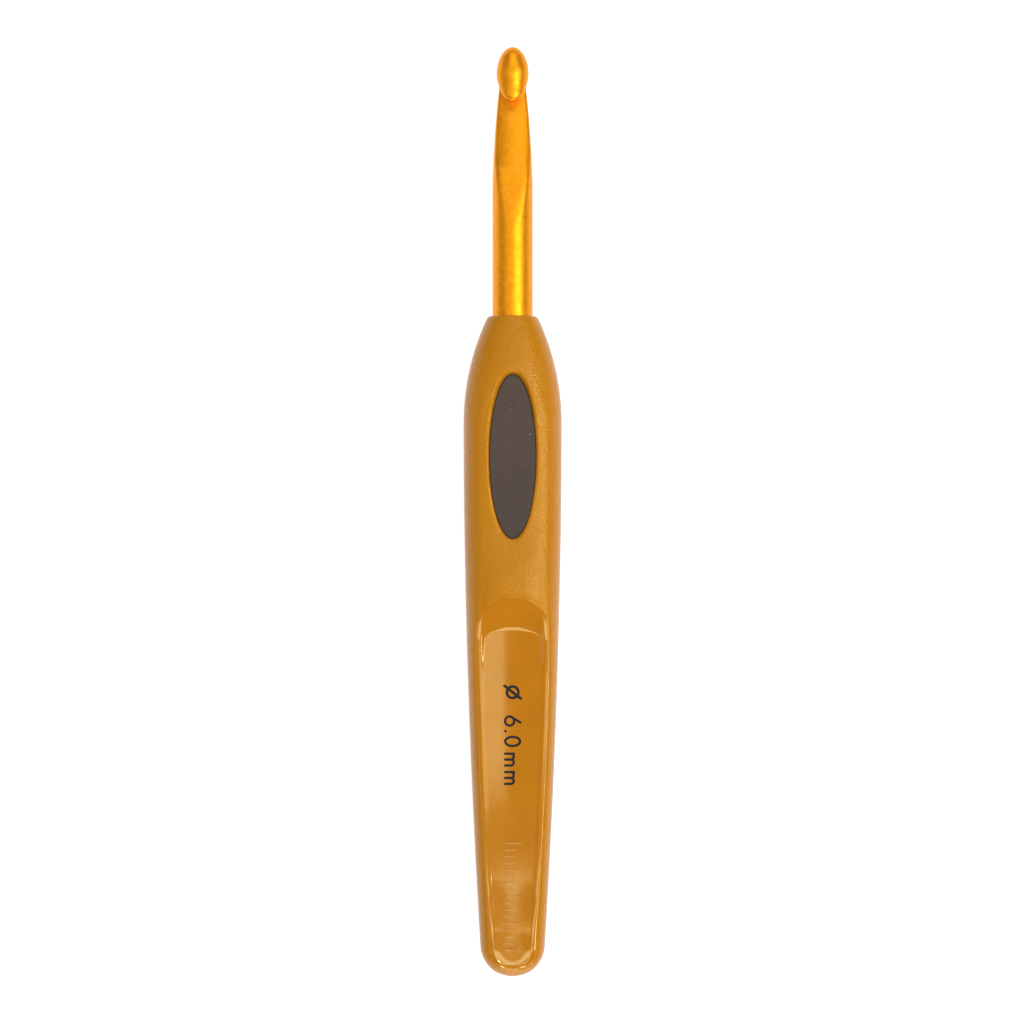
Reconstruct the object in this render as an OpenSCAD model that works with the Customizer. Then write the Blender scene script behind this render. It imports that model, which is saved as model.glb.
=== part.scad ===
// Crochet hook, 6.0 mm, with an over-moulded ergonomic handle.
// The hook lies on its back: throat and lip face +Z, head towards +Y, butt towards -Y.
// Stations along the hook are measured from the butt end and called t.

/* [Hook] */
// Overall length, butt to head tip
total_length = 139.5; // [136:0.5:143]
// Shank diameter: the gauge size of the hook
shank_d = 6.0; // [5.9:0.05:6.1]
// Widest diameter of the rounded head
head_d = 4.8; // [4.7:0.05:4.9]
// Diameter of the neck where it meets the head
neck_d = 4.4; // [4.3:0.05:4.5]
// Distance from the head tip to the edge of the lip
lip_to_tip = 8.2; // [8:0.1:8.4]
// Depth of the throat at the lip, below the front of the shank
throat_depth = 2.6; // [2.4:0.1:2.7]
// Length of the sloped throat ramp
throat_length = 17.2; // [16:0.2:18]

/* [Handle] */
// Length of the handle
handle_length = 99; // [98:0.5:100]
// Widest part of the handle, across the thumb rest
handle_width = 14.76; // [14.5:0.1:15]
// Thickness over the two resting crests, front to back
handle_thickness = 10.2; // [10.1:0.05:10.2]
// Wall of the satin sleeve at the sides
side_wall = 0.9; // [0.8:0.05:1]

/* [Thumb rest] */
// Length of the oval pad
pad_length = 24.56; // [24:0.2:25]
// Width of the oval pad
pad_width = 7.0; // [6.6:0.1:7.1]
// Height of the pad's face above the middle plane
pad_face_z = 4.3; // [4.2:0.02:4.34]

/* [Label window] */
// Width of the window at its widest, between the rims
window_width = 10.4; // [10.2:0.1:10.5]
// Width of the window where its end rounding starts
window_end_width = 6.1; // [5.9:0.1:6.3]
// Height of the printed numerals
print_height = 2.64; // [2.4:0.1:2.8]

/* [Hidden] */

$fn = 64;
cut = 30;

// The middle plane and the butt end in the part's frame
mid_z = handle_thickness / 2;
butt_y = -total_length / 2;

// ---- Hook ----
shank_r = shank_d / 2;
head_r = head_d / 2;
neck_r = neck_d / 2;
nose_cap_length = 4.1;
nose_cap_steps = 12;
head_t = total_length - nose_cap_length;
neck_t = total_length - 6.3;
taper_length = 14;
full_r = shank_r - 0.01;
taper_steps = 6;
throat_start_t = total_length - lip_to_tip - throat_length;
throat_root_r = 0.55;
throat_root_t = total_length - 7.05;
undercut_angle = 44;
lip_reach = 6;
tang_r = 2.75;
tang_end_t = 57;
tang_bulb_length = 4;
tang_flats_end_t = 92;
tang_flat_z = 2.1;
tang_chamfer = 0.5;

// ---- Handle outline, seen from the front ----
half_w = handle_width / 2;
shoulder_t = handle_length - 16;
nose_arc_r = 37;
side_taper = 2.82;
side_taper_power = 1.9;
butt_r = 4.4;
butt_rounding = 0.95;

// ---- Handle thickness ----
section_power = 2.2;
nose_half_z = 3.76;
thick_half_z = 5.5;
waist_t = 69;
waist_dip = 0.25;
swell_t = 58;
swell_rise = 0.3;
butt_drop = 2.15;
butt_drop_power = 1.7;
crest_trim = 0.3;

// ---- Thumb rest scoop and window rims ----
scoop_half_w = 4.22;
scoop_end_t = 91.2;
scoop_full_t = 81;
min_flat_half_w = 0.8;
rim_flare_start_t = 60;
rim_flare_length = 10;
rim_widest_t = 46;
window_top_t = 56.66;
window_arch_t = 51;
window_end_t = 4.4;
window_bottom_t = 1.8;
window_half_w = window_width / 2;
window_end_half_w = window_end_width / 2;
rim_taper_power = 1.35;
widest_flat = 0.8;
arch_power = 2.35;
window_wall = 0.45;
floor_z_at_butt = 2.3;
floor_slope = 0.0135;

// ---- Core, sleeve and pads ----
nose_wall = 1.4;
butt_wall = 1.2;
face_wall = 1.1;
least_cover = 0.35;
pocket_floor_z = 2.9;
pad_flange = 0.5;
flange_top_z = 3.3;
pad_t = 77.93;

// ---- Print ----
ink = 0.04;
stroke = 0.36;
print_top_t = 43.9;
print_base_x = -1.3;
ring_d = 2.3;
digit_w = 1.8;
letter_w = 2.15;
letter_h = 1.65;
dot_d = 0.42;

// ---- Rings of the lofted shells ----
flat_steps = 6;
side_steps = 8;

function clamp(v, low, high) = min(max(v, low), high);
function smooth(u) = let (c = clamp(u, 0, 1)) c * c * (3 - 2 * c);
function bump(t, middle, spread) = exp(-pow((t - middle) / spread, 2));
function arc_drop(run, r) = r - sqrt(max(r * r - run * run, 0));

// Half width of the handle at station t
function side_x(t) =
    t > shoulder_t ? half_w - arc_drop(t - shoulder_t, nose_arc_r)
    : half_w - side_taper * pow((shoulder_t - t) / shoulder_t, side_taper_power)
      - (t < butt_r ? butt_rounding * arc_drop(butt_r - t, butt_r) : 0);

// Half thickness of the handle before the thumb rest is scooped out
function body_z(t) =
    thick_half_z
    - waist_dip * bump(t, waist_t, 7)
    + swell_rise * bump(t, swell_t - 2, 9)
    - butt_drop * pow(clamp(1 - t / shoulder_t, 0, 1), butt_drop_power);
function nose_drop(t) = (thick_half_z - nose_half_z) * pow((t - shoulder_t) / 16, 2);
function half_z(t) =
    t > shoulder_t ? body_z(t) - nose_drop(t)
    : t > butt_r ? body_z(t)
    : body_z(butt_r) - 0.6 * arc_drop(butt_r - t, butt_r);

// Height of a rounded section with half axes a and b at distance x from the middle
function section_z(x, a, b) =
    b * pow(max(1 - pow(min(abs(x) / a, 1), section_power), 0), 1 / section_power);

// Half width between the two ridges: thumb rest first, then the rims of the window
function rim_x(t) =
    t > scoop_full_t
    ? scoop_half_w * sqrt(max(1 - pow((t - scoop_full_t) / (scoop_end_t - scoop_full_t), 2), 0))
    : t > rim_widest_t
    ? scoop_half_w + (window_half_w - scoop_half_w) * smooth((rim_flare_start_t - t) / rim_flare_length)
    : window_half_w - (window_half_w - window_end_half_w)
      * pow((rim_widest_t - t) / (rim_widest_t - window_end_t), rim_taper_power);

// The same, never vanishing and never as wide as the handle
function flat_x(t) = clamp(rim_x(t), min_flat_half_w, widest_flat * side_x(t));

// Height of the front face: the section, cut by the scoop between the ridges and flat on the crests
function ridge_z(t) = section_z(min(rim_x(t), flat_x(t)), side_x(t), half_z(t));
function crown(t) =
    t > scoop_full_t ? 0.25 * smooth((t - scoop_full_t) / 6)
    : max(mid_z + crest_trim - ridge_z(swell_t), 0) * bump(t, swell_t, 4.5);
function face_z(x, t) =
    let (across = x / flat_x(t))
    min(section_z(x, side_x(t), half_z(t)), ridge_z(t) + crown(t) * (1 - pow(across, 4)), mid_z);

// Floor of the glossy window, and the face of the core under sleeve and window
function floor_z(t) = floor_z_at_butt + floor_slope * t;
function core_face_z(t) =
    let (under_sleeve = face_z(0, t) - face_wall, inside = smooth((window_top_t - t) / 5))
    min(under_sleeve * (1 - inside) + floor_z(t) * inside, face_z(0, t) - least_cover);
function core_side_x(t) = side_x(t) - side_wall;
function core_half_z(t) = half_z(t) - side_wall;
function core_flat_x(t) =
    let (level = min(core_face_z(t) / core_half_z(t), 1))
    core_side_x(t) * pow(1 - pow(level, section_power), 1 / section_power);

// Rounded side from the front ridge at x = r round to the back ridge, ends left out
function side_points(a, b, r) =
    let (start = acos(pow(min(r / a, 1), section_power / 2)))
    [for (i = [1 : side_steps - 1])
        let (q = start * (1 - 2 * i / side_steps))
        [a * pow(cos(q), 2 / section_power), b * sign(q) * pow(abs(sin(q)), 2 / section_power)]];

// Half a ring of the outer shell and of the core; the other half is its point reflection
function shell_half(t) =
    let (r = flat_x(t))
    concat(
        [for (i = [0 : flat_steps]) let (x = r * (2 * i / flat_steps - 1)) [x, face_z(x, t)]],
        side_points(side_x(t), half_z(t), r));
function core_half(t) =
    let (a = core_side_x(t), b = core_half_z(t), r = clamp(core_flat_x(t), min_flat_half_w, widest_flat * a))
    concat(
        [for (i = [0 : flat_steps]) let (x = r * (2 * i / flat_steps - 1))
            [x, min(core_face_z(t), section_z(x, a, b))]],
        side_points(a, b, r));
function ring(half, t) = [for (s = [1, -1]) for (p = half) [s * p[0], t + butt_y, s * p[1] + mid_z]];

// Closed shell through the rings, one per station, with a fan of triangles at each end
module loft(rings) {
    n = len(rings[0]);
    last = len(rings) - 1;
    first_hub = n * len(rings);
    hubs = [for (r = [rings[0], rings[last]]) [0, r[0][1], mid_z]];
    walls = [for (k = [0 : last - 1]) for (i = [0 : n - 1])
        let (a = k * n + i, b = k * n + (i + 1) % n)
        each [[a, b + n, b], [a, a + n, b + n]]];
    ends = [for (i = [0 : n - 1])
        let (j = (i + 1) % n)
        each [[first_hub, i, j], [first_hub + 1, last * n + j, last * n + i]]];
    polyhedron(points = concat([for (r = rings) each r], hubs), faces = concat(walls, ends));
}

// Stations: close together at the butt, the window's arch and the nose
function butt_stations(first) = [for (i = [1 : 6]) first + (butt_r - first) * (1 - cos(15 * i))];
shell_stations = concat([0], butt_stations(0), [for (t = [9 : 6 : 45]) t],
    [for (t = [49 : 2 : 61]) t], [for (t = [64 : 4 : 80]) t], [for (t = [83 : 2 : 97]) t], [98.4, handle_length]);
core_stations = concat([butt_wall], butt_stations(butt_wall), [for (t = [9 : 8 : 49]) t],
    [51.5, 53, 54.5, 57, 60], [for (t = [64 : 6 : 88]) t], [91, 94, 96, handle_length - nose_wall]);

// Outline of the label window, with an arched top and rounded lower end
function window_x(t) = rim_x(t) - window_wall;
function arch(u) = pow(max(u, 0), 2 / arch_power);
window_right = concat(
    [for (q = [90 : -15 : 0])
        [window_x(window_arch_t) * arch(cos(q)),
         window_arch_t + (window_top_t - window_wall - window_arch_t) * arch(sin(q))]],
    [for (t = [45 : -8 : 13]) [window_x(t), t]],
    [for (q = [0 : 18 : 90])
        [window_x(window_end_t) * arch(cos(q)),
         window_end_t - (window_end_t - window_bottom_t - window_wall) * arch(sin(q))]]);
window_outline = concat(window_right,
    [for (i = [len(window_right) - 2 : -1 : 1]) [-window_right[i][0], window_right[i][1]]]);

// Place a shape drawn in x and t, and extruded upwards from the middle plane
module on_axis() {
    translate([0, butt_y, mid_z]) children();
}

// The same on both faces: front as drawn, back turned over
module both_faces() {
    children();
    rotate([0, 180, 0]) children();
}

module pad_outline(grow) {
    translate([0, pad_t])
        polygon([for (i = [0 : 47])
            [(pad_width / 2 + grow) * cos(7.5 * i), (pad_length / 2 + grow) * sin(7.5 * i)]]);
}

// Profile of the rod, radius against station, from the tang's end to the head's tip
function tip_r(t) = head_r * pow(1 - pow((t - head_t) / nose_cap_length, 2), 0.53);
function taper_r(t) = full_r - (full_r - neck_r) * pow(1 - (neck_t - t) / taper_length, 1.5);
rod_profile = concat(
    [[0, tang_end_t], [tang_r - tang_chamfer, tang_end_t], [tang_r, tang_end_t + tang_chamfer]],
    [[tang_r, handle_length], [shank_r, handle_length], [shank_r, throat_start_t]],
    [for (i = [0 : taper_steps])
        let (t = neck_t - taper_length * (1 - i / taper_steps)) [taper_r(t), t]],
    [[(neck_r + head_r) / 2 + 0.03, (neck_t + head_t) / 2 - 0.1]],
    [for (i = [0 : nose_cap_steps])
        let (t = head_t + nose_cap_length * sin(90 * i / nose_cap_steps)) [max(tip_r(t), 0), t]]);

// Shape removed to form the throat, drawn in station and height
module throat_cutter() {
    root_z = shank_r - throat_depth + throat_root_r;
    rotate([90, 0, 90])
        linear_extrude(height = cut, center = true) {
            translate([throat_root_t, root_z]) circle(r = throat_root_r);
            polygon([
                [throat_start_t, shank_r],
                [throat_root_t, root_z - throat_root_r],
                [throat_root_t + throat_root_r * cos(undercut_angle), root_z + throat_root_r * sin(undercut_angle)],
                [throat_root_t + throat_root_r * cos(undercut_angle) - lip_reach * sin(undercut_angle),
                 root_z + throat_root_r * sin(undercut_angle) + lip_reach * cos(undercut_angle)],
                [throat_start_t, lip_reach]]);
        }
}

// Flats on the tang, above and below, that key it into the core
module tang_flats() {
    length = tang_flats_end_t - tang_end_t - tang_bulb_length;
    for (s = [1, -1])
        translate([-cut / 2, tang_end_t + tang_bulb_length, s > 0 ? tang_flat_z : -tang_flat_z - cut])
            cube([cut, length, cut]);
}

module rod() {
    rotate([-90, 0, 0]) rotate_extrude() polygon(rod_profile);
}

module hook() {
    color([0.85, 0.55, 0.1])
        on_axis()
            difference() {
                rod();
                throat_cutter();
                tang_flats();
            }
}

// Space that the tang fills inside the core
module tang_space() {
    difference() {
        translate([0, tang_end_t, 0]) rotate([-90, 0, 0]) cylinder(r = tang_r, h = handle_length - tang_end_t + 1);
        tang_flats();
    }
}

module handle_core() {
    color([0.78, 0.48, 0.02])
        difference() {
            loft([for (t = core_stations) ring(core_half(t), t)]);
            on_axis() tang_space();
            on_axis() both_faces() translate([0, 0, pocket_floor_z])
                linear_extrude(height = cut) pad_outline(pad_flange);
        }
}

module grip_sleeve() {
    color([0.82, 0.52, 0.05])
        difference() {
            loft([for (t = shell_stations) ring(shell_half(t), t)]);
            loft([for (t = core_stations) ring(core_half(t), t)]);
            on_axis() linear_extrude(height = cut, center = true) window_outline_shape();
            on_axis() linear_extrude(height = cut, center = true) pad_outline(0);
            on_axis() translate([0, handle_length - 2 * nose_wall, 0])
                rotate([-90, 0, 0]) cylinder(r = tang_r, h = 3 * nose_wall);
        }
}

module window_outline_shape() {
    polygon(window_outline);
}

module thumb_pad() {
    translate([0, 0, pocket_floor_z])
        linear_extrude(height = flange_top_z - pocket_floor_z) pad_outline(pad_flange);
    translate([0, 0, pocket_floor_z])
        linear_extrude(height = pad_face_z - pocket_floor_z) pad_outline(0);
}

module thumb_pad_front() {
    color([0.33, 0.27, 0.24]) on_axis() thumb_pad();
}

module thumb_pad_back() {
    color([0.33, 0.27, 0.24]) on_axis() rotate([0, 180, 0]) thumb_pad();
}

// Printed characters stand with their feet towards -X and read towards the butt
module bar(from, to) {
    run = to - from;
    translate(from) rotate(atan2(run[1], run[0])) translate([0, -stroke / 2]) square([norm(run), stroke]);
}

module oval(w, h) {
    r = w / 2;
    difference() {
        union() {
            translate([r, r]) circle(r = r);
            translate([r, h - r]) circle(r = r);
            translate([0, r]) square([w, h - w]);
        }
        translate([r, r]) circle(r = r - stroke);
        translate([r, h - r]) circle(r = r - stroke);
        translate([stroke, r]) square([w - 2 * stroke, h - w]);
    }
}

module diameter_sign() {
    r = ring_d / 2;
    difference() {
        translate([r, print_height / 2]) circle(r = r);
        translate([r, print_height / 2]) circle(r = r - stroke * 1.3);
    }
    bar([0, 0], [ring_d, print_height]);
}

module six() {
    r = digit_w / 2;
    difference() {
        translate([r, r]) circle(r = r);
        translate([r, r]) circle(r = r - stroke);
    }
    intersection() {
        difference() {
            translate([2 * r, r]) circle(r = 2 * r);
            translate([2 * r, r]) circle(r = 2 * r - stroke);
        }
        translate([0, r]) square([1.55 * r, print_height - r]);
    }
}

module small_m() {
    r = letter_w / 4 + stroke / 4;
    for (i = [0, 1])
        translate([i * (2 * r - stroke), 0]) {
            intersection() {
                difference() {
                    translate([r, letter_h - r]) circle(r = r);
                    translate([r, letter_h - r]) circle(r = r - stroke);
                }
                translate([0, letter_h - r]) square([2 * r, r]);
            }
            translate([2 * r - stroke, 0]) square([stroke, letter_h - r]);
        }
    square([stroke, letter_h]);
}

module print_shape() {
    diameter_sign();
    translate([4.55, 0]) six();
    translate([6.93, dot_d / 2]) circle(r = dot_d / 2);
    translate([7.63, 0]) oval(digit_w, print_height);
    translate([10.15, 0]) small_m();
    translate([12.9, 0]) small_m();
}

// The ink lies on the sloping window floor
module size_print() {
    tilt = atan(floor_slope);
    color([0.08, 0.07, 0.06])
        on_axis()
            translate([print_base_x, 0, floor_z_at_butt])
                rotate([tilt, 0, 0])
                    translate([0, print_top_t, 0])
                        rotate([0, 0, -90])
                            linear_extrude(height = ink) print_shape();
}

hook();
handle_core();
grip_sleeve();
thumb_pad_front();
thumb_pad_back();
size_print();
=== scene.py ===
"""Crochet hook with a two-shot soft handle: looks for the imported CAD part.

Every visible piece is a closed solid given by a formula and turned into a mesh by solid_mesh().
Lengths in the formulas are millimetres: x across, t from the butt end towards the head, z up
from the middle plane of the hook. place() turns them into the frame's metres.
"""

import math

import bpy
import numpy as np
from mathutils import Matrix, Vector


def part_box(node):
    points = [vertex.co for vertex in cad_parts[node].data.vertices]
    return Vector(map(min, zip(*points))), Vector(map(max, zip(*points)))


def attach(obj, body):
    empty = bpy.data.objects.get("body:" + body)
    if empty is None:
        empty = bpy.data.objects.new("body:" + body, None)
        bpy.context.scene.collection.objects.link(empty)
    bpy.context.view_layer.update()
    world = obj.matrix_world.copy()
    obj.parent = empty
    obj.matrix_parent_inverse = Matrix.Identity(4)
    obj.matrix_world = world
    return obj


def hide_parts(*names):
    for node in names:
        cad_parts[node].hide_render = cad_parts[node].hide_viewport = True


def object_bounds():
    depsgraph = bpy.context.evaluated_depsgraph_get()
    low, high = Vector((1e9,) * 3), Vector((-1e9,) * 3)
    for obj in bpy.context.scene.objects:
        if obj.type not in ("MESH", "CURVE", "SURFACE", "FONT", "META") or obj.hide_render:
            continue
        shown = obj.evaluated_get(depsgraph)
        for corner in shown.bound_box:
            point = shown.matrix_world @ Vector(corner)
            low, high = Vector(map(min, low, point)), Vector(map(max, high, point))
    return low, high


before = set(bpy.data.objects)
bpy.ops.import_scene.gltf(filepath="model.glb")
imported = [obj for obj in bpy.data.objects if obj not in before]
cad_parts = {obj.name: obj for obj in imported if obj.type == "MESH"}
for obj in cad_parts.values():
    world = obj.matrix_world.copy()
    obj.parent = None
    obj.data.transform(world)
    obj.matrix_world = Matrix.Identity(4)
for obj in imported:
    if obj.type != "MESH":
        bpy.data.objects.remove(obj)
cad_low, cad_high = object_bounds()

MM = 1000.0
LENGTH = (cad_high.y - cad_low.y) * MM
MID_Z = (cad_high.z - cad_low.z) * MM / 2
BUTT_Y = cad_low.y * MM
SLEEVE_LOW, SLEEVE_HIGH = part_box("grip_sleeve")
HANDLE_LENGTH = (SLEEVE_HIGH.y - SLEEVE_LOW.y) * MM
HALF_W = (SLEEVE_HIGH.x - SLEEVE_LOW.x) * MM / 2
PAD_LOW, PAD_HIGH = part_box("thumb_pad_front")
PAD_FLANGE = 0.5
PAD_T = (PAD_LOW.y + PAD_HIGH.y) / 2 * MM - BUTT_Y
PAD_HALF_X = (PAD_HIGH.x - PAD_LOW.x) / 2 * MM - PAD_FLANGE
PAD_HALF_T = (PAD_HIGH.y - PAD_LOW.y) / 2 * MM - PAD_FLANGE
PAD_SINK = 0.12
PAD_FACE_Z = PAD_HIGH.z * MM - MID_Z - PAD_SINK
POCKET_FLOOR_Z = PAD_LOW.z * MM - MID_Z

# ---- Handle, with the proportions of the CAD ----
SHOULDER_T = HANDLE_LENGTH - 16
NOSE_ARC_R = 37.0
SIDE_TAPER, SIDE_TAPER_POWER = 2.82, 1.9
BUTT_R, BUTT_ROUNDING = 4.4, 0.95
SECTION_POWER = 2.2
NOSE_HALF_Z, THICK_HALF_Z = 3.76, 5.5
WAIST_T, WAIST_DIP = 69.0, 0.25
SWELL_T, SWELL_RISE = 58.0, 0.3
BUTT_DROP, BUTT_DROP_POWER = 2.15, 1.7
CREST_CLEARANCE = 0.02
SCOOP_HALF_W, SCOOP_FULL_T, SCOOP_END_T = 4.22, 81.0, 91.2
SCOOP_NOSE_CROWN, SWELL_CROWN_SPREAD, BUTT_CROWN_T = 0.25, 4.5, 7.0
RIDGE_ROUND, RIDGE_SHARP_T, RIDGE_SOFTENING = 0.1, 90.0, 0.7
NOSE_END_ROUND = 0.4
FLARE_START_T, FLARE_LENGTH, RIM_WIDEST_T = 60.0, 10.0, 46.0
WINDOW_HALF_W, WINDOW_END_HALF_W, WINDOW_END_T = 5.2, 3.05, 4.4
RIM_TAPER_POWER = 1.35
WINDOW_ARCH_T, WINDOW_TOP_T, WINDOW_BOTTOM_T = 51.0, 56.66, 1.8
ARCH_POWER = 2.35
FLOOR_SHARE, FLOOR_TOP_T, FLOOR_BOTTOM_T = 0.8, 51.7, 2.3
FLOOR_Z_AT_BUTT, FLOOR_SLOPE, FLOOR_HOLLOW = 2.3, 0.0135, 0.12
SIDE_WALL, FACE_WALL = 0.9, 1.1
GLOSS_BEAD = 0.3
RIM_ROUND = 0.5
RIM_LAP, RIM_STEP = 0.12, 0.004
FLOOR_FILLET = 0.2
RECESS_SLOPE, RECESS_ROUND = 0.45, 0.38
END_RISE, END_RISE_T = 0.25, 14.0
TANG_R, TANG_END_T, TANG_BULB, TANG_FLATS_END_T, TANG_FLAT_Z = 2.75, 57.0, 4.0, 92.0, 2.1

# ---- Hook ----
SHANK_R, HEAD_R, NECK_R = 3.0, 2.4, 2.19
LIP_TO_TIP, THROAT_LENGTH, THROAT_DEPTH = 9.35, 16.1, 2.6
NOSE_CAP, NOSE_CAP_POWER = 4.1, 0.54
NECK_TO_TIP, NECK_TAPER_LENGTH, NECK_TAPER_POWER = 6.5, 14.0, 1.25
HEAD_BACK_CURVE = 0.085
LIP_Z, LIP_ROUND, THROAT_ROUND, THROAT_CROWN = 2.3, 1.7, 0.45, 0.09


def place(points):
    """Millimetre points (x, t, z) as frame metres."""
    return (points + np.array([0.0, BUTT_Y, MID_Z])) / MM


# ---- Smooth functions that the solids are made from ----
def smooth(u):
    u = np.clip(u, 0.0, 1.0)
    return u * u * (3 - 2 * u)


def bump(t, middle, spread):
    return np.exp(-(((t - middle) / spread) ** 2))


def round_max(a, b, r):
    """The larger of two fields, with the edge between them rounded over about r."""
    h = np.maximum(r - np.abs(a - b), 0.0)
    return np.maximum(a, b) + h * h / (4 * r)


def round_min(a, b, r):
    return -round_max(-a, -b, r)


def arc_drop(run, r):
    return r - np.sqrt(np.maximum(r * r - run * run, 0.0))


def side_x(t):
    """Half width of the handle."""
    nose = np.where(t > SHOULDER_T, arc_drop(t - SHOULDER_T, NOSE_ARC_R), 0.0)
    taper = SIDE_TAPER * np.maximum(1 - t / SHOULDER_T, 0.0) ** SIDE_TAPER_POWER
    butt = BUTT_ROUNDING * arc_drop(np.clip(BUTT_R - t, 0.0, BUTT_R), BUTT_R)
    return HALF_W - nose - taper - butt


def half_z(t):
    """Half thickness of the handle before the thumb rest is scooped out."""
    nose = (THICK_HALF_Z - NOSE_HALF_Z) * (np.maximum(t - SHOULDER_T, 0.0) / 16) ** 2
    taper = BUTT_DROP * np.clip(1 - t / SHOULDER_T, 0.0, 1.0) ** BUTT_DROP_POWER
    butt = 0.6 * arc_drop(np.clip(BUTT_R - t, 0.0, BUTT_R), BUTT_R)
    waves = SWELL_RISE * bump(t, SWELL_T - 2, 9) - WAIST_DIP * bump(t, WAIST_T, 7)
    return THICK_HALF_Z - nose - taper - butt + waves


def section_z(x, a, b):
    share = np.clip(np.abs(x) / a, 0.0, 1.0) ** SECTION_POWER
    return b * (1 - share) ** (1 / SECTION_POWER)


def rim_x(t):
    """Half width between the ridges of the thumb rest and the rims of the window."""
    closing = 1 - (np.clip(t - SCOOP_FULL_T, 0.0, None) / (SCOOP_END_T - SCOOP_FULL_T)) ** 2
    scoop = SCOOP_HALF_W * np.sqrt(np.maximum(closing, 0.0))
    flare = (WINDOW_HALF_W - SCOOP_HALF_W) * smooth((FLARE_START_T - t) / FLARE_LENGTH)
    run = np.maximum(RIM_WIDEST_T - t, 0.0) / (RIM_WIDEST_T - WINDOW_END_T)
    return scoop + flare - (WINDOW_HALF_W - WINDOW_END_HALF_W) * run**RIM_TAPER_POWER


def flat_x(t):
    return np.minimum(np.maximum(rim_x(t), 0.8), 0.8 * side_x(t))


def ridge_z(t):
    return section_z(np.minimum(rim_x(t), flat_x(t)), side_x(t), half_z(t))


SWELL_CROWN = MID_Z - CREST_CLEARANCE - float(ridge_z(np.array(SWELL_T)))


def scoop_z(x, t):
    """Height of the scooped face between the ridges."""
    shoulder = SCOOP_NOSE_CROWN * smooth((t - SCOOP_FULL_T) / 6)
    swell = SWELL_CROWN * bump(t, SWELL_T, SWELL_CROWN_SPREAD)
    butt = (half_z(t) - ridge_z(t)) * smooth((BUTT_CROWN_T - t) / 5)
    crown = np.where(t > SCOOP_FULL_T, shoulder, swell + butt)
    across = np.clip(np.abs(x) / flat_x(t), 0.0, 1.0)
    return ridge_z(t) + crown * (1 - across**4)


def face_z(x, t):
    return np.minimum(section_z(x, side_x(t), half_z(t)), scoop_z(x, t))


def section_field(x, z, a, b):
    """About the distance to a rounded section with half axes a and b."""
    n = SECTION_POWER
    u, v = np.abs(x) / a, np.abs(z) / b
    s = u**n + v**n + 1e-9
    gu = s ** (1 / n - 1) * u ** (n - 1) / a
    gv = s ** (1 / n - 1) * v ** (n - 1) / b
    return (s ** (1 / n) - 1) / np.sqrt(gu * gu + gv * gv + 1e-4)


def plan_distance(outline, x, t):
    """About the distance to the plan curve outline(x, t) = 0."""
    h = 0.01
    gx = (outline(x + h, t) - outline(x - h, t)) / (2 * h)
    gt = (outline(x, t + h) - outline(x, t - h)) / (2 * h)
    return outline(x, t) / np.maximum(np.hypot(gx, gt), 0.08)


def body_field(x, t, z):
    """The whole outside of the handle, thumb rests and crests included."""
    a, b = side_x(np.clip(t, 0.0, None)), half_z(np.clip(t, 0.0, None))
    ridge_round = RIDGE_ROUND + RIDGE_SOFTENING * smooth((RIDGE_SHARP_T - t) / 8)
    f = round_max(section_field(x, z, a, b), np.abs(z) - scoop_z(x, t), ridge_round)
    f = round_max(f, np.abs(z) - MID_Z, 0.1)
    f = round_max(f, t - HANDLE_LENGTH, NOSE_END_ROUND)
    return round_max(f, -t, 0.2)


def window_outline(x, t):
    rim = np.where(t > WINDOW_ARCH_T, WINDOW_HALF_W, rim_x(t))
    top = np.maximum(t - WINDOW_ARCH_T, 0.0) / (WINDOW_TOP_T - WINDOW_ARCH_T)
    end = np.maximum(WINDOW_END_T - t, 0.0) / (WINDOW_END_T - WINDOW_BOTTOM_T)
    p = ARCH_POWER
    return ((np.abs(x) / rim) ** p + top**p + end**p + 1e-9) ** (1 / p) - 1


def floor_outline(x, t):
    top = np.maximum(t - (FLOOR_TOP_T - 4), 0.0) / 4
    end = np.maximum(WINDOW_END_T - t, 0.0) / (WINDOW_END_T - FLOOR_BOTTOM_T)
    edge = FLOOR_SHARE * np.where(t > WINDOW_ARCH_T, WINDOW_HALF_W, rim_x(t))
    return ((np.abs(x) / edge) ** 6 + top**6 + end**3 + 1e-9) ** (1 / 6) - 1


def floor_height(t):
    """Floor of the window on the centre line, curving up a little towards the butt."""
    rise = END_RISE * (np.maximum(END_RISE_T - t, 0.0) / END_RISE_T) ** 2
    return FLOOR_Z_AT_BUTT + FLOOR_SLOPE * t + rise


def dish_z(x, t):
    """Glossy surface of the window: hollow floor, rising wall and the long ramp at the arch."""
    to_rim = plan_distance(window_outline, x, t)
    to_floor = plan_distance(floor_outline, x, t)
    rise = np.clip(to_floor, 0.0, None) / np.maximum(to_floor - to_rim, 1e-3)
    rise = np.clip(rise, 0.0, 2.5)
    soft = FLOOR_FILLET
    rise = (np.sqrt(rise**2 + soft**2) - soft) / (math.sqrt(1 + soft**2) - soft)
    hollow = FLOOR_HOLLOW * (1 + 1.4 * smooth((15.0 - t) / 8))
    half_floor = FLOOR_SHARE * np.maximum(rim_x(t), 0.5)
    floor = floor_height(t) + hollow * np.minimum(x / half_floor, 1.2) ** 2
    rim = np.maximum(face_z(np.minimum(np.abs(x), rim_x(t)), t), floor + 0.3)
    return floor + (rim - floor) * rise


def pad_distance(x, t):
    def ellipse(px, pt):
        return np.sqrt((px / PAD_HALF_X) ** 2 + ((pt - PAD_T) / PAD_HALF_T) ** 2 + 1e-9) - 1

    return plan_distance(ellipse, x, t)


def tang_field(x, t, z):
    """The hook's end inside the handle: two flats behind a round bulb."""
    f = np.hypot(x, z) - TANG_R
    flats = (t > TANG_END_T + TANG_BULB) & (t < TANG_FLATS_END_T)
    f = np.where(flats, np.maximum(f, np.abs(z) - TANG_FLAT_Z), f)
    return np.maximum(f, TANG_END_T - t)


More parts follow.
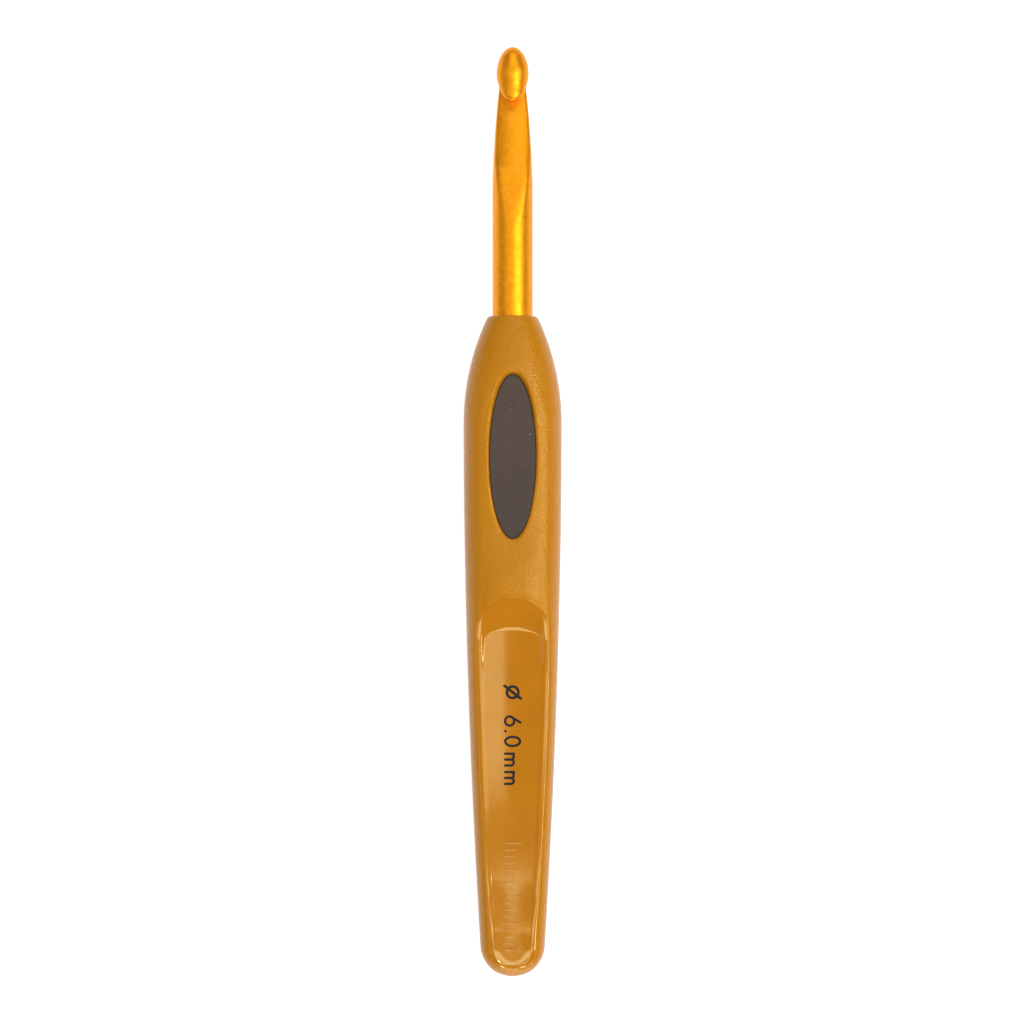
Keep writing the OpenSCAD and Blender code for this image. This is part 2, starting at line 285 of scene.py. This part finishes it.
def core_inside(x, t, z):
    """The core where the sleeve covers it."""
    a, b = side_x(t) - SIDE_WALL, half_z(t) - SIDE_WALL
    f = section_field(x, z, np.maximum(a, 0.3), np.maximum(b, 0.3))
    f = np.maximum(f, np.abs(z) - face_z(x, t) + FACE_WALL)
    return np.maximum(np.maximum(f, 1.2 - t), t - HANDLE_LENGTH + 1.4)


def window_cut(x, t, z):
    """Above the glossy surface; only near the window, on both faces."""
    return np.where(t < WINDOW_TOP_T + 1, 0.85 * (np.abs(z) - dish_z(x, t)), -9.0)


def core_field(x, t, z):
    """The core under the sleeve, with the glossy window and the bead of its rim."""
    surface = round_max(body_field(x, t, z), window_cut(x, t, z), RIM_ROUND)
    rim = plan_distance(window_outline, x, t) - GLOSS_BEAD
    f = np.maximum(core_inside(x, t, z), window_cut(x, t, z))
    f = np.minimum(f, np.maximum(rim - RIM_LAP, surface + RIM_STEP))
    pocket = np.maximum(pad_distance(x, t) - PAD_FLANGE, POCKET_FLOOR_Z - np.abs(z))
    return np.maximum(np.maximum(f, -pocket), -tang_field(x, t, z))


def sleeve_field(x, t, z):
    """The satin skin round the core, open at the windows and at the pads."""
    surface = round_max(body_field(x, t, z), window_cut(x, t, z), RIM_ROUND)
    f = np.maximum(surface, GLOSS_BEAD - plan_distance(window_outline, x, t))
    # The opening for the pad widens above the pad's face, into the edge of the recess
    lift = np.clip(np.abs(z) - PAD_FACE_Z, 0.0, None)
    opening = 0.02 + RECESS_SLOPE * lift - pad_distance(x, t)
    f = round_max(f, 0.9 * opening, RECESS_ROUND)
    bore = np.minimum(TANG_R - np.hypot(x, z), t - TANG_END_T)
    return np.maximum(np.maximum(f, -core_inside(x, t, z)), bore)


def pad_field(x, t, z):
    """The front pad: an oval with a flange that the sleeve holds down."""
    edge = pad_distance(x, t)
    f = round_max(edge + 0.03, z - PAD_FACE_Z, 0.15)
    flange = np.maximum(edge - PAD_FLANGE + 0.03, z - POCKET_FLOOR_Z - 0.4)
    return np.maximum(np.minimum(f, flange), POCKET_FLOOR_Z - z)


# ---- Hook ----
TIP_T = LENGTH
HEAD_T = TIP_T - NOSE_CAP
NECK_T = TIP_T - NECK_TO_TIP
LIP_T = TIP_T - LIP_TO_TIP
THROAT_T = LIP_T - THROAT_LENGTH
THROAT_SLOPE = THROAT_DEPTH / THROAT_LENGTH
UNDERCUT = math.radians(48)


def rod_r(t):
    """Radius of the rod: shank, tapered neck, and the head that swells out of it."""
    taper = np.clip((t - NECK_T + NECK_TAPER_LENGTH) / NECK_TAPER_LENGTH, 0.0, 1.0)
    neck = SHANK_R - (SHANK_R - NECK_R) * taper**NECK_TAPER_POWER
    cap = np.clip((t - HEAD_T) / NOSE_CAP, 0.0, 1.0)
    head = HEAD_R * np.maximum(1 - cap**2, 0.0) ** NOSE_CAP_POWER
    back = HEAD_R - HEAD_BACK_CURVE * np.clip(HEAD_T - t, 0.0, None) ** 2
    return np.where(t > HEAD_T, head, round_max(neck, back, 0.12))


def rod_field(x, t, z):
    """Distance to the uncut rod, with an ellipsoid at its end so that the tip stays regular."""
    h = 0.01
    r = np.hypot(x, z)
    slope = (rod_r(t + h) - rod_r(t - h)) / (2 * h)
    rod = (r - rod_r(t)) / np.sqrt(1 + np.clip(slope, -3, 3) ** 2)
    u = np.sqrt(r**2 / HEAD_R**2 + ((t - HEAD_T) / NOSE_CAP) ** 2 + 1e-9)
    grad = np.sqrt(r**2 / HEAD_R**4 + ((t - HEAD_T) / NOSE_CAP**2) ** 2 + 1e-4)
    return np.where(t > HEAD_T, (u - 1) * u / grad, rod)


def hook_field(x, t, z):
    """The rod with its throat: a slightly crowned ramp that ends under the slanted lip."""
    rod = rod_field(x, t, z)
    crown = THROAT_CROWN * smooth((t - THROAT_T - 4) / 6) * x * x
    ramp = (SHANK_R - THROAT_SLOPE * (t - THROAT_T) - crown - z) * 0.98
    under = (t - LIP_T) * math.cos(UNDERCUT) + (z - LIP_Z) * math.sin(UNDERCUT)
    ramped = round_max(rod, -ramp, THROAT_ROUND)
    lipped = round_max(rod, -under, LIP_ROUND)
    f = round_min(ramped, lipped, 0.6)
    return np.where(t < HANDLE_LENGTH, tang_field(x, t, z), f)


# ---- Printed size mark and raised ticks, as strokes in the plan ----
def arc(cx, cy, r, start, stop, squash=1.0, steps=14):
    angles = np.radians(np.linspace(start, stop, steps))
    return [(cx + r * math.cos(a), cy + r * squash * math.sin(a)) for a in angles]


def zero():
    w, h = 0.68, 1.12
    return [arc(0.9, h + 0.2, w, 0, 360, h / w, 28)]


def six():
    return [arc(0.9, 0.86, 0.68, 0, 360, 1.0, 24), [(0.24, 1.05), (1.12, 2.46)]]


def small_m():
    hump = 0.44
    return [
        [(0.18, 0.18), (0.18, 1.52)],
        arc(0.18 + hump, 1.05, hump, 180, 0) + [(0.18 + 2 * hump, 0.18)],
        arc(0.18 + 3 * hump, 1.05, hump, 180, 0) + [(0.18 + 4 * hump, 0.18)],
    ]


def diameter_sign():
    return [arc(1.15, 1.32, 0.86, 0, 360, 1.0, 28), [(0.2, 0.1), (2.1, 2.54)]]


def dot():
    return [[(0.2, 0.24), (0.22, 0.24)]]


PRINT_TOP_T, PRINT_BASE_X = 43.9, -1.32
PRINT_RISE, PRINT_DEPTH = 0.03, 0.08
# Each sign with its start along the line and half the width of its strokes
PRINT_SIGNS = [
    (diameter_sign, 0.0, 0.2),
    (six, 4.55, 0.18),
    (dot, 6.75, 0.2),
    (zero, 7.6, 0.18),
    (small_m, 10.15, 0.18),
    (small_m, 12.9, 0.18),
]


def stroke_distance(x, t, path):
    """Plan distance to a line through the points of path."""
    best = np.full(x.shape, 9.0)
    for (ax, at), (bx, bt) in zip(path, path[1:]):
        dx, dt = bx - ax, bt - at
        along = ((x - ax) * dx + (t - at) * dt) / max(dx * dx + dt * dt, 1e-9)
        along = np.clip(along, 0.0, 1.0)
        best = np.minimum(best, np.hypot(x - ax - along * dx, t - at - along * dt))
    return best


def print_distance(x, t):
    """Characters stand on a line near the left and read towards the butt."""
    best = np.full(x.shape, 9.0)
    for sign, along, half in PRINT_SIGNS:
        for path in sign():
            placed = [(PRINT_BASE_X + py, PRINT_TOP_T - along - px) for px, py in path]
            best = np.minimum(best, stroke_distance(x, t, placed) - half)
    return best


def print_field(x, t, z):
    top = dish_z(x, t) + PRINT_RISE
    return np.maximum(print_distance(x, t), np.maximum(z - top, top - PRINT_DEPTH - z))


TICK_FIRST_T, TICK_STEP, TICK_COUNT = 4.2, 1.0, 17
TICK_LONG, TICK_SHORT, TICK_X = 2.3, 1.3, -1.15
TICK_HALF_W, TICK_RISE, TICK_DEPTH = 0.13, 0.12, 0.2


def tick_field(x, t, z):
    """A row of fine raised bars along the floor of the window, every fourth one longer."""
    best = np.full(x.shape, 9.0)
    for i in range(TICK_COUNT):
        end = TICK_X + (TICK_LONG if i % 4 == 0 else TICK_SHORT)
        at = TICK_FIRST_T + TICK_STEP * i
        best = np.minimum(best, stroke_distance(x, t, [(TICK_X, at), (end, at)]) - TICK_HALF_W)
    top = dish_z(x, t) + TICK_RISE
    return round_max(best, np.maximum(z - top, top - TICK_DEPTH - z), 0.08)


# ---- From a field to a mesh ----
def graded(start, stop, coarse, fine=()):
    """Grid lines from start to stop, closer together near each (from, to, step) of fine."""
    lines = [start]
    while lines[-1] < stop:
        at, step = lines[-1], coarse
        for low, high, small in fine:
            away = max(low - at, at - high, 0.0)
            step = min(step, small + 0.25 * away)
        lines.append(at + step)
    lines = np.array(lines)
    return start + (lines - start) * (stop - start) / (lines[-1] - start)


def mirrored(lines):
    return np.concatenate([-lines[::-1], lines[1:]])


def gradient(field, p):
    h = 0.004
    out = np.empty_like(p)
    for k in range(3):
        step = np.zeros(3)
        step[k] = h
        a, b = p + step, p - step
        out[:, k] = (field(*a.T) - field(*b.T)) / (2 * h)
    return out


def net(field, x, t, z):
    """Closed quad mesh of field < 0 on a grid of points x, t, z of one shape."""
    values = field(x, t, z)
    inside = values < 0
    points = np.stack([x, t, z], axis=-1)
    cells = tuple(n - 1 for n in values.shape)
    corners = [(i, j, k) for i in (0, 1) for j in (0, 1) for k in (0, 1)]

    def corner(array, c):
        return array[tuple(slice(o, o + n) for o, n in zip(c, cells))]

    count = sum(corner(inside, c).astype(np.int8) for c in corners)
    active = (count > 0) & (count < 8)
    index = np.full(cells, -1, dtype=np.int64)
    index[active] = np.arange(active.sum())
    total, hits = np.zeros((active.sum(), 3)), np.zeros(active.sum())
    for a in corners:
        for axis in range(3):
            if a[axis]:
                continue
            b = tuple(v + (k == axis) for k, v in enumerate(a))
            fa, fb = corner(values, a)[active], corner(values, b)[active]
            cross = (fa < 0) != (fb < 0)
            share = np.where(cross, fa / np.where(cross, fa - fb, 1.0), 0.0)[:, None]
            pa, pb = corner(points, a)[active], corner(points, b)[active]
            total += np.where(cross[:, None], pa + (pb - pa) * share, 0.0)
            hits += cross
    vertices = total / hits[:, None]
    quads = []
    for axis in range(3):
        u, v = (axis + 1) % 3, (axis + 2) % 3
        low = [slice(1, n - 1) for n in values.shape]
        high = list(low)
        low[axis], high[axis] = slice(0, cells[axis]), slice(1, cells[axis] + 1)
        first, second = inside[tuple(low)], inside[tuple(high)]
        for change, turn in ((first & ~second, 1), (~first & second, -1)):
            at = np.argwhere(change)
            at[:, u] += 1
            at[:, v] += 1
            ring = []
            for du, dv in ((-1, -1), (0, -1), (0, 0), (-1, 0)):
                cell = at.copy()
                cell[:, u] += du
                cell[:, v] += dv
                ring.append(index[tuple(cell.T)])
            quads.append(np.stack(ring[::turn], axis=1))
    return vertices, np.concatenate(quads)


def solid_mesh(name, field, x, t, z, warp=None, reach=0.1):
    """A mesh object of field < 0, its vertices drawn onto the true surface."""
    grid = np.meshgrid(x, t, z, indexing="ij")
    if warp:
        grid = warp(*grid)
    vertices, quads = net(field, *grid)
    for _ in range(4):
        g = gradient(field, vertices)
        step = field(*vertices.T) / np.maximum((g * g).sum(axis=1), 0.05)
        move = g * step[:, None]
        size = np.linalg.norm(move, axis=1)
        vertices = vertices - move * np.minimum(1.0, reach / np.maximum(size, 1e-9))[:, None]
    normals = gradient(field, vertices)
    normals /= np.maximum(np.linalg.norm(normals, axis=1), 1e-9)[:, None]
    mesh = bpy.data.meshes.new(name)
    mesh.from_pydata(place(vertices).tolist(), [], quads.tolist())
    mesh.update()
    mesh.shade_smooth()
    mesh.normals_split_custom_set_from_vertices(normals.tolist())
    piece = bpy.data.objects.new(name, mesh)
    bpy.context.scene.collection.objects.link(piece)
    return piece


def handle_warp(u, t, w):
    """Grid that follows the handle: u = 1 on the rims, |w| = 1 just outside the faces."""
    at = np.clip(t, 4.0, HANDLE_LENGTH)
    side = side_x(at) + 0.35
    rim = np.where(t > SCOOP_FULL_T, SCOOP_HALF_W * side_x(at) / HALF_W, rim_x(at))
    x = np.sign(u) * (np.minimum(np.abs(u), 1) * rim + np.maximum(np.abs(u) - 1, 0) * (side - rim))
    return x, t, w * (np.minimum(half_z(at), MID_Z) + 0.3)


# Grid lines of the handle, closer together at the butt, the arch, the pad's ends and the nose,
# and across it at the rims and near the faces
T_LINES = graded(
    -0.3,
    HANDLE_LENGTH + 0.3,
    0.6,
    fine=[
        (-0.3, 4.5, 0.16),
        (50.5, 57.2, 0.16),
        (65.0, 67.0, 0.22),
        (88.6, 91.2, 0.22),
        (HANDLE_LENGTH - 0.8, HANDLE_LENGTH + 0.3, 0.1),
    ],
)
U_LINES = mirrored(graded(0.0, 2.0, 0.07, fine=[(0.74, 1.1, 0.028), (1.7, 2.0, 0.05)]))
W_LINES = mirrored(graded(0.0, 1.0, 0.05, fine=[(0.62, 1.0, 0.03)]))


# ---- Materials ----
def nodes_of(name):
    material = bpy.data.materials.new(name)
    material.use_nodes = True
    nodes, links = material.node_tree.nodes, material.node_tree.links
    return material, nodes, links, nodes["Principled BSDF"]


def noise(nodes, links, coords, scale, detail=2.0, stretch=(1, 1, 1)):
    mapping = nodes.new("ShaderNodeMapping")
    mapping.inputs["Scale"].default_value = stretch
    links.new(coords.outputs["Object"], mapping.inputs["Vector"])
    texture = nodes.new("ShaderNodeTexNoise")
    texture.inputs["Scale"].default_value = scale
    texture.inputs["Detail"].default_value = detail
    links.new(mapping.outputs["Vector"], texture.inputs["Vector"])
    return texture.outputs["Fac"]


def ramp(nodes, links, source, low, high, start=0.3, stop=0.7):
    node = nodes.new("ShaderNodeValToRGB")
    node.color_ramp.elements[0].position = start
    node.color_ramp.elements[0].color = low
    node.color_ramp.elements[1].position = stop
    node.color_ramp.elements[1].color = high
    links.new(source, node.inputs["Fac"])
    return node.outputs["Color"]


def grey(v):
    return (v, v, v, 1.0)


def bumps(nodes, links, layers, shader):
    """Chain of bump nodes, one per (height, distance in metres, strength)."""
    normal = None
    for height, distance, strength in layers:
        node = nodes.new("ShaderNodeBump")
        node.inputs["Distance"].default_value = distance
        node.inputs["Strength"].default_value = strength
        links.new(height, node.inputs["Height"])
        if normal:
            links.new(normal, node.inputs["Normal"])
        normal = node.outputs["Normal"]
    links.new(normal, shader.inputs["Normal"])


def anodised_gold():
    """Fine-blasted, gold-anodised aluminium with faint drawing marks along the rod."""
    material, nodes, links, shader = nodes_of("anodised_gold")
    coords = nodes.new("ShaderNodeTexCoord")
    shader.inputs["Metallic"].default_value = 1.0
    grain = noise(nodes, links, coords, 5200, 3.0)
    drawn = noise(nodes, links, coords, 1800, 2.0, (1, 0.06, 1))
    cloud = noise(nodes, links, coords, 1300, 2.0)
    links.new(
        ramp(nodes, links, cloud, (0.8, 0.285, 0.006, 1), (0.9, 0.345, 0.014, 1)),
        shader.inputs["Base Color"],
    )
    links.new(ramp(nodes, links, grain, grey(0.42), grey(0.5)), shader.inputs["Roughness"])
    bumps(nodes, links, [(grain, 0.00002, 0.6), (cloud, 0.00005, 0.5), (drawn, 0.00001, 0.25)], shader)
    return material


def satin_amber():
    """Amber plastic with a fine spark-eroded grain."""
    material, nodes, links, shader = nodes_of("satin_amber")
    coords = nodes.new("ShaderNodeTexCoord")
    shader.inputs["IOR"].default_value = 1.5
    shader.inputs["Specular IOR Level"].default_value = 0.45
    shader.inputs["Specular Tint"].default_value = (1.0, 0.9, 0.4, 1)
    grain = noise(nodes, links, coords, 4000, 3.0)
    pores = noise(nodes, links, coords, 9000, 1.0)
    cloud = noise(nodes, links, coords, 90, 2.0)
    links.new(
        ramp(nodes, links, cloud, (0.45, 0.163, 0.001, 1), (0.475, 0.173, 0.001, 1)),
        shader.inputs["Base Color"],
    )
    links.new(ramp(nodes, links, pores, grey(0.13), grey(0.18)), shader.inputs["Roughness"])
    bumps(nodes, links, [(grain, 0.00014, 0.7), (pores, 0.00001, 0.4)], shader)
    return material


def gloss_amber():
    """The same amber with a polished surface and a slight moulded waviness."""
    material, nodes, links, shader = nodes_of("gloss_amber")
    coords = nodes.new("ShaderNodeTexCoord")
    shader.inputs["IOR"].default_value = 1.52
    shader.inputs["Specular IOR Level"].default_value = 1.6
    shader.inputs["Specular Tint"].default_value = (1.0, 0.93, 0.45, 1)
    wave = noise(nodes, links, coords, 220, 1.0)
    speck = noise(nodes, links, coords, 2600, 2.0)
    links.new(
        ramp(nodes, links, wave, (0.475, 0.162, 0.001, 1), (0.51, 0.175, 0.001, 1)),
        shader.inputs["Base Color"],
    )
    links.new(ramp(nodes, links, speck, grey(0.06), grey(0.1)), shader.inputs["Roughness"])
    bumps(nodes, links, [(wave, 0.00006, 0.12)], shader)
    return material


def pad_rubber():
    """Brown-grey elastomer with a dull, finely pitted surface and a little dust."""
    material, nodes, links, shader = nodes_of("pad_rubber")
    coords = nodes.new("ShaderNodeTexCoord")
    shader.inputs["Sheen Weight"].default_value = 0.06
    shader.inputs["Sheen Roughness"].default_value = 0.5
    pits = noise(nodes, links, coords, 6000, 2.0)
    cloud = noise(nodes, links, coords, 160, 2.0)
    dust = noise(nodes, links, coords, 3200, 0.0)
    base = ramp(nodes, links, cloud, (0.048, 0.028, 0.018, 1), (0.056, 0.034, 0.023, 1))
    mix = nodes.new("ShaderNodeMix")
    mix.data_type = "RGBA"
    links.new(ramp(nodes, links, dust, grey(0), grey(1), 0.83, 0.86), mix.inputs["Factor"])
    links.new(base, mix.inputs["A"])
    mix.inputs["B"].default_value = (0.22, 0.18, 0.14, 1)
    links.new(mix.outputs["Result"], shader.inputs["Base Color"])
    links.new(ramp(nodes, links, pits, grey(0.62), grey(0.78)), shader.inputs["Roughness"])
    bumps(nodes, links, [(pits, 0.00002, 0.6)], shader)
    return material


def black_ink():
    """Pad-printed ink, slightly uneven in cover."""
    material, nodes, links, shader = nodes_of("black_ink")
    coords = nodes.new("ShaderNodeTexCoord")
    shader.inputs["Specular IOR Level"].default_value = 0.2
    cover = noise(nodes, links, coords, 4000, 2.0)
    links.new(
        ramp(nodes, links, cover, (0.006, 0.006, 0.008, 1), (0.014, 0.012, 0.012, 1)),
        shader.inputs["Base Color"],
    )
    links.new(ramp(nodes, links, cover, grey(0.35), grey(0.5)), shader.inputs["Roughness"])
    bumps(nodes, links, [(cover, 0.00001, 0.3)], shader)
    return material


def pale_floor():
    material, nodes, links, shader = nodes_of("pale_floor")
    shader.inputs["Base Color"].default_value = (0.45, 0.45, 0.45, 1)
    shader.inputs["Roughness"].default_value = 0.9
    shader.inputs["Emission Color"].default_value = (1, 1, 1, 1)
    shader.inputs["Emission Strength"].default_value = 0.78
    return material


def dress(piece, material, replaced):
    piece.data.materials.append(material)
    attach(piece, "root")
    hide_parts(replaced)


# ---- Pieces ----
def build_hook(material):
    shoulder = (HANDLE_LENGTH - 0.4, HANDLE_LENGTH + 0.4, 0.1)
    throat = (THROAT_T - 2, LIP_T - 2, 0.3)
    head = (LIP_T - 1.5, TIP_T + 0.3, 0.12)
    t = graded(TANG_END_T - 0.3, TIP_T + 0.3, 0.7, fine=[shoulder, throat, head])
    x = mirrored(graded(0.0, SHANK_R + 0.25, 0.14))
    piece = solid_mesh("anodised_hook", hook_field, x, t, x.copy())
    dress(piece, material, "hook")


def build_core(material):
    piece = solid_mesh("gloss_core", core_field, U_LINES, T_LINES, W_LINES, handle_warp)
    dress(piece, material, "handle_core")


def build_sleeve(material):
    piece = solid_mesh("satin_sleeve", sleeve_field, U_LINES, T_LINES, W_LINES, handle_warp)
    dress(piece, material, "grip_sleeve")


def build_pad(name, side, material, node):
    """One thumb pad: side is 1 for the front and -1 for the back."""
    reach_x, reach_t = PAD_HALF_X + PAD_FLANGE + 0.15, PAD_HALF_T + PAD_FLANGE + 0.15
    x = mirrored(graded(0.0, reach_x, 0.2, fine=[(2.6, reach_x, 0.12)]))
    low_t, high_t = PAD_T - reach_t, PAD_T + reach_t
    t = graded(low_t, high_t, 0.4, fine=[(low_t, low_t + 1.5, 0.15), (high_t - 1.5, high_t, 0.15)])
    z = np.arange(POCKET_FLOOR_Z - 0.12, PAD_FACE_Z + 0.14, 0.08)

    def flipped(px, pt, pz):
        return pad_field(px, pt, side * pz)

    piece = solid_mesh(name, flipped, x, t, z if side > 0 else -z[::-1])
    dress(piece, material, node)


def floor_warp(x, t, w):
    return x, t, w + floor_height(t)


def build_print(material):
    x = np.arange(-1.7, 1.7, 0.06)
    t = np.arange(PRINT_TOP_T - 15.6, PRINT_TOP_T + 0.4, 0.06)
    w = np.arange(-0.16, 0.2, 0.035)
    piece = solid_mesh("printed_size", print_field, x, t, w, floor_warp, 0.03)
    dress(piece, material, "size_print")


def build_ticks(material):
    x = np.arange(-1.5, 1.5, 0.07)
    last = TICK_FIRST_T + TICK_STEP * TICK_COUNT
    t = np.arange(TICK_FIRST_T - 0.4, last, 0.06)
    w = np.arange(-0.24, 0.24, 0.04)
    piece = solid_mesh("raised_ticks", tick_field, x, t, w, floor_warp, 0.03)
    dress(piece, material, "handle_core")


# ---- Camera, floor and light, in metres ----
FRAME_WIDTH = 0.15385
FLOOR_HALF_SIZE = 1.5


def build_camera():
    """Straight above the hook, head at the top of the picture."""
    data = bpy.data.cameras.new("camera")
    data.lens, data.sensor_width = 100.0, 36.0
    distance = FRAME_WIDTH * data.lens / data.sensor_width
    camera = bpy.data.objects.new("camera", data)
    camera.location = (-0.0001, -0.0001, MID_Z / MM + distance)
    camera.rotation_euler = (0, 0, 0)
    data.clip_start, data.clip_end = 0.01, 10.0
    bpy.context.scene.collection.objects.link(camera)
    bpy.context.scene.camera = camera


def build_floor():
    size = FLOOR_HALF_SIZE
    corners = [(-size, -size, 0), (size, -size, 0), (size, size, 0), (-size, size, 0)]
    mesh = bpy.data.meshes.new("floor")
    mesh.from_pydata([Vector(c) for c in corners], [], [(0, 1, 2, 3)])
    floor = bpy.data.objects.new("floor", mesh)
    floor.data.materials.append(pale_floor())
    bpy.context.scene.collection.objects.link(floor)


def area_light(name, place_at, aim, size, radiance):
    """A panel. Aimed aslant, its first side is level; aimed down, its sides run along x and y."""
    data = bpy.data.lights.new(name, "AREA")
    data.shape, data.size, data.size_y = "RECTANGLE", size[0], size[1]
    data.energy = radiance * math.pi * size[0] * size[1]
    light = bpy.data.objects.new(name, data)
    light.location = place_at
    direction = Vector(aim) - Vector(place_at)
    light.rotation_euler = direction.to_track_quat("-Z", "Y").to_euler()
    bpy.context.scene.collection.objects.link(light)


def build_lights():
    area_light("overhead_panel", (0.208, 0.0925, 0.6), (0.208, 0.0925, 0), (0.384, 0.415), 1.15)
    area_light("ridge_panel", (0.33, 0.01, 0.53), (0, 0, 0), (0.12, 0.36), 13.5)
    area_light("strip_right", (0.42, 0.0, 0.47), (0, 0, 0), (0.5, 0.035), 9.0)
    area_light("left_panel", (-0.3, 0.125, 0.6), (-0.3, 0.125, 0), (0.42, 0.35), 1.5)
    area_light("left_wall", (-0.8, 0.0, 0.4), (0, 0, 0), (1.0, 0.9), 0.35)
    area_light("front_panel", (0.0, -0.204, 0.6), (0, -0.204, 0), (0.44, 0.112), 2.0)
    area_light("head_panel", (0.05, 0.62, 0.5), (0, 0, 0), (0.5, 0.3), 3.6)
    area_light("butt_panel", (0.0, -0.7, 0.16), (0, 0, 0), (0.6, 0.2), 8.0)
    world = bpy.data.worlds.new("studio")
    world.use_nodes = True
    background = world.node_tree.nodes["Background"]
    background.inputs["Color"].default_value = (1, 1, 1, 1)
    background.inputs["Strength"].default_value = 0.14
    bpy.context.scene.world = world
    bpy.context.scene.view_settings.view_transform = "Standard"


build_camera()
build_floor()
build_lights()
satin, gloss, rubber = satin_amber(), gloss_amber(), pad_rubber()
build_hook(anodised_gold())
build_core(gloss)
build_sleeve(satin)
build_pad("elastomer_pad_front", 1, rubber, "thumb_pad_front")
build_pad("elastomer_pad_back", -1, rubber, "thumb_pad_back")
build_print(black_ink())
build_ticks(gloss)
